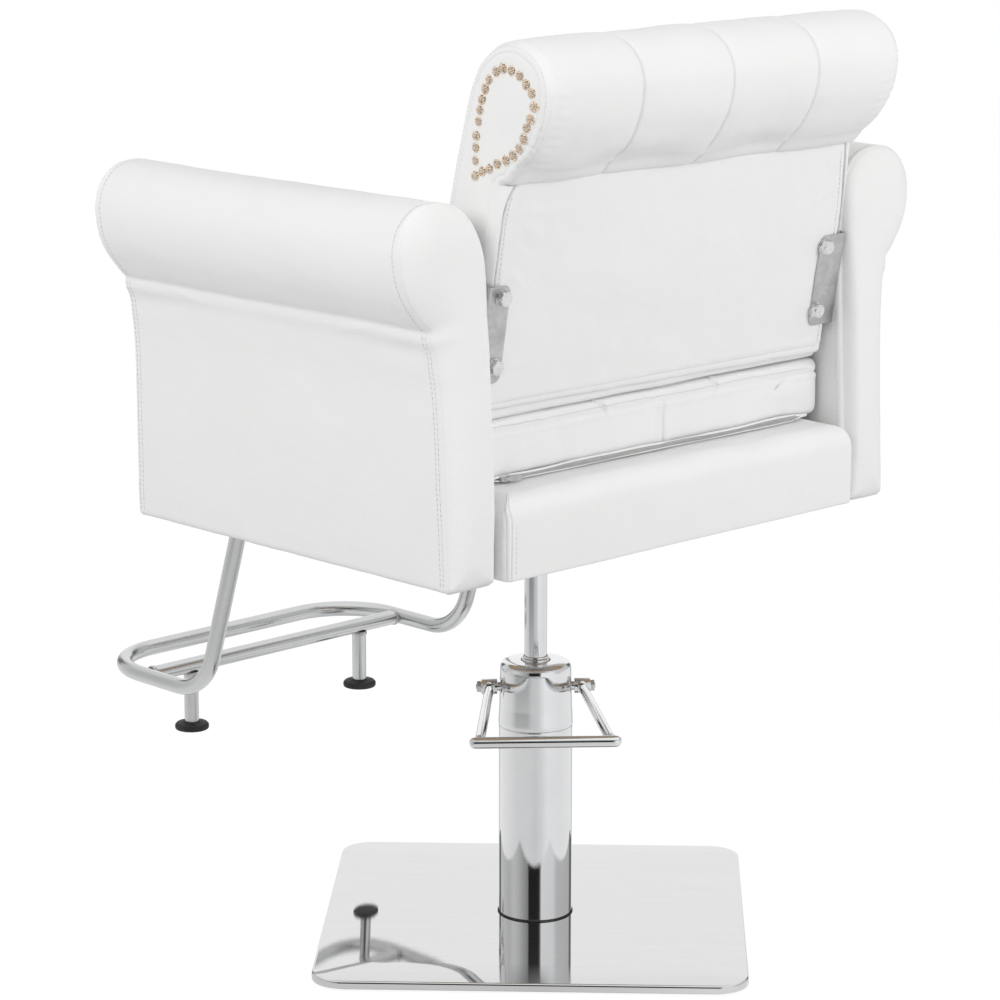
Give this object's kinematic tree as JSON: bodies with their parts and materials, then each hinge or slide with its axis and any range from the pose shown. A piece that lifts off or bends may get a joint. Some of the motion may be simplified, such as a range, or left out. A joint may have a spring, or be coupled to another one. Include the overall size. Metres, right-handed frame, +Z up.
{
  "type": "salon styling chair",
  "caption": "Upholstered salon chair with rolled arms and a rolled back, on a pedal-pumped column with a square base plate and a tubular footrest.",
  "frame": {"origin": "on the pump's axis, at floor level, the middle of the underside of the base", "axes": "+Z up, the seat faces -Y, the sitter's left is +X; the square base plate is turned 46 degrees clockwise about Z relative to the seat, as pictured"},
  "size_m": [0.7794, 0.887, 1.044],
  "materials": {
    "brushed_stainless": "finely brushed, close to a mirror",
    "chrome": "bright chrome plate",
    "mild_steel": "plain machined steel, hidden",
    "zinc_plated": "galvanised, slightly mottled",
    "black_rubber": "matt",
    "plywood": "raw plywood, hidden",
    "upholstery": "soft off-white upholstery leather with a fine grain",
    "antique_nails": "antique copper-bronze, domed",
    "zipper_tape": "woven tape with metal teeth"
  },
  "bodies": {
    "base": {"flange_screw_1": "zinc_plated", "flange_screw_2": "zinc_plated", "flange_screw_3": "zinc_plated", "flange_screw_4": "zinc_plated", "floor_mat": "black_rubber", "plate_cover": "brushed_stainless", "plunger_barrel": "mild_steel", "plunger_spring": "mild_steel", "pump_body": "mild_steel", "pump_head_cover": "chrome", "pump_tube": "chrome", "rod_gland": "chrome", "tube_gasket": "black_rubber", "weight_plate": "mild_steel"},
    "pedal": {"hub_nut_left": "zinc_plated", "hub_nut_right": "zinc_plated", "pedal_bar": "chrome", "pedal_hub_left": "chrome", "pedal_hub_right": "chrome", "rocker_yoke": "mild_steel"},
    "pump_plunger": {"plunger": "zinc_plated"},
    "piston": {"piston_head": "mild_steel", "piston_seal": "black_rubber"},
    "zipper_slider": {"zipper_slider": "zinc_plated"},
    "seat": {"apron": "upholstery", "arm_bolt_front_left": "zinc_plated", "arm_bolt_front_right": "zinc_plated", "arm_bolt_rear_left": "zinc_plated", "arm_bolt_rear_right": "zinc_plated", "arm_frame_left": "plywood", "arm_frame_right": "plywood", "arm_pad_left": "upholstery", "arm_pad_right": "upholstery", "back_board": "plywood", "back_bracket_left": "zinc_plated", "back_bracket_right": "zinc_plated", "back_pad": "upholstery", "back_panel": "upholstery", "bracket_bolt_high_left": "zinc_plated", "bracket_bolt_high_right": "zinc_plated", "bracket_bolt_low_left": "zinc_plated", "bracket_bolt_low_right": "zinc_plated", "footrest_bolt_left": "zinc_plated", "footrest_bolt_right": "zinc_plated", "footrest_crossbar": "chrome", "footrest_glide_left": "black_rubber", "footrest_glide_right": "black_rubber", "footrest_tube": "chrome", "nail_trim_left": "antique_nails", "nail_trim_right": "antique_nails", "piston_rod": "chrome", "seat_bolt_1": "zinc_plated", "seat_bolt_2": "zinc_plated", "seat_bolt_3": "zinc_plated", "seat_bolt_4": "zinc_plated", "seat_cushion": "upholstery", "seat_frame": "plywood", "seat_hub": "mild_steel", "seat_plate": "mild_steel", "zipper_tape": "zipper_tape"}
  },
  "joints": [
    {"name": "seat_lift", "type": "slide", "parent": "base", "child": "piston", "axis": [0, 0, 1], "range_m": [-0.145, 0.01]},
    {"name": "seat_swivel", "type": "hinge", "parent": "piston", "child": "seat", "pos_m": [0, 0, 0.3], "axis": [0, 0, 1], "continuous": true},
    {"name": "pump_pedal", "type": "hinge", "parent": "base", "child": "pedal", "pos_m": [0, 0, 0.28], "axis": [0.7513, -0.66, 0], "range_deg": [-25, 8]},
    {"name": "plunger_slide", "type": "slide", "parent": "base", "child": "pump_plunger", "axis": [0, 0, 1], "range_m": [-0.0145, 0.005], "deforming": ["plunger_spring"]},
    {"name": "zipper_run", "type": "slide", "parent": "seat", "child": "zipper_slider", "axis": [-1, 0, 0], "range_m": [0, 0.445]}
  ],
  "couplings": [
    {"joint": "plunger_slide", "follows": "pump_pedal", "m_per_rad": 0.032}
  ]
}
